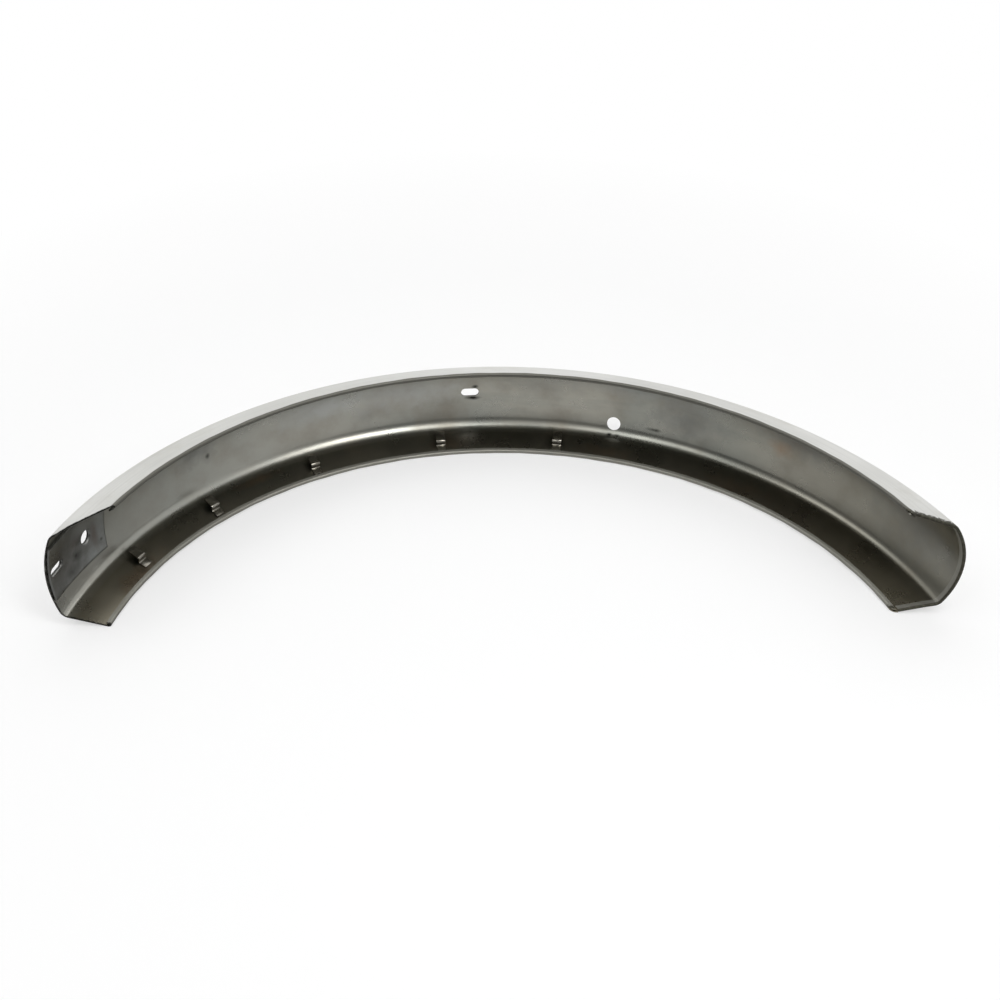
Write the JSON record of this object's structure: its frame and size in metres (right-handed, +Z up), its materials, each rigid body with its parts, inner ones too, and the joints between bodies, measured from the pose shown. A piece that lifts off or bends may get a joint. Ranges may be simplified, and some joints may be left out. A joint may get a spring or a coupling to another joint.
{
  "type": "motorcycle rear fender",
  "caption": "Pressed steel rear fender for a small motorcycle: an arched channel with flared hemmed skirts, a welded front plate and cable clips along one skirt.",
  "frame": {"origin": "middle of the base of the box around the part, which lies on its side", "axes": "+X points to the rear end of the fender, +Y from the wheel axle to the top of the arc, +Z up, along the wheel axle, from the skirt with the clips to the other skirt"},
  "size_m": [0.6024, 0.2273, 0.0834],
  "materials": {
    "raw_sheet": "bare pressed steel, mottled grey, lightly oiled",
    "plate_sheet": "bare steel, darker and slightly blue, with smears",
    "clip_sheet": "bare bent steel strip"
  },
  "bodies": {
    "root": {"fender_shell": "raw_sheet", "reinforcement_plate": "plate_sheet", "cable_clip_1": "clip_sheet", "cable_clip_2": "clip_sheet", "cable_clip_3": "clip_sheet", "cable_clip_4": "clip_sheet", "cable_clip_5": "clip_sheet"}
  },
  "joints": []
}
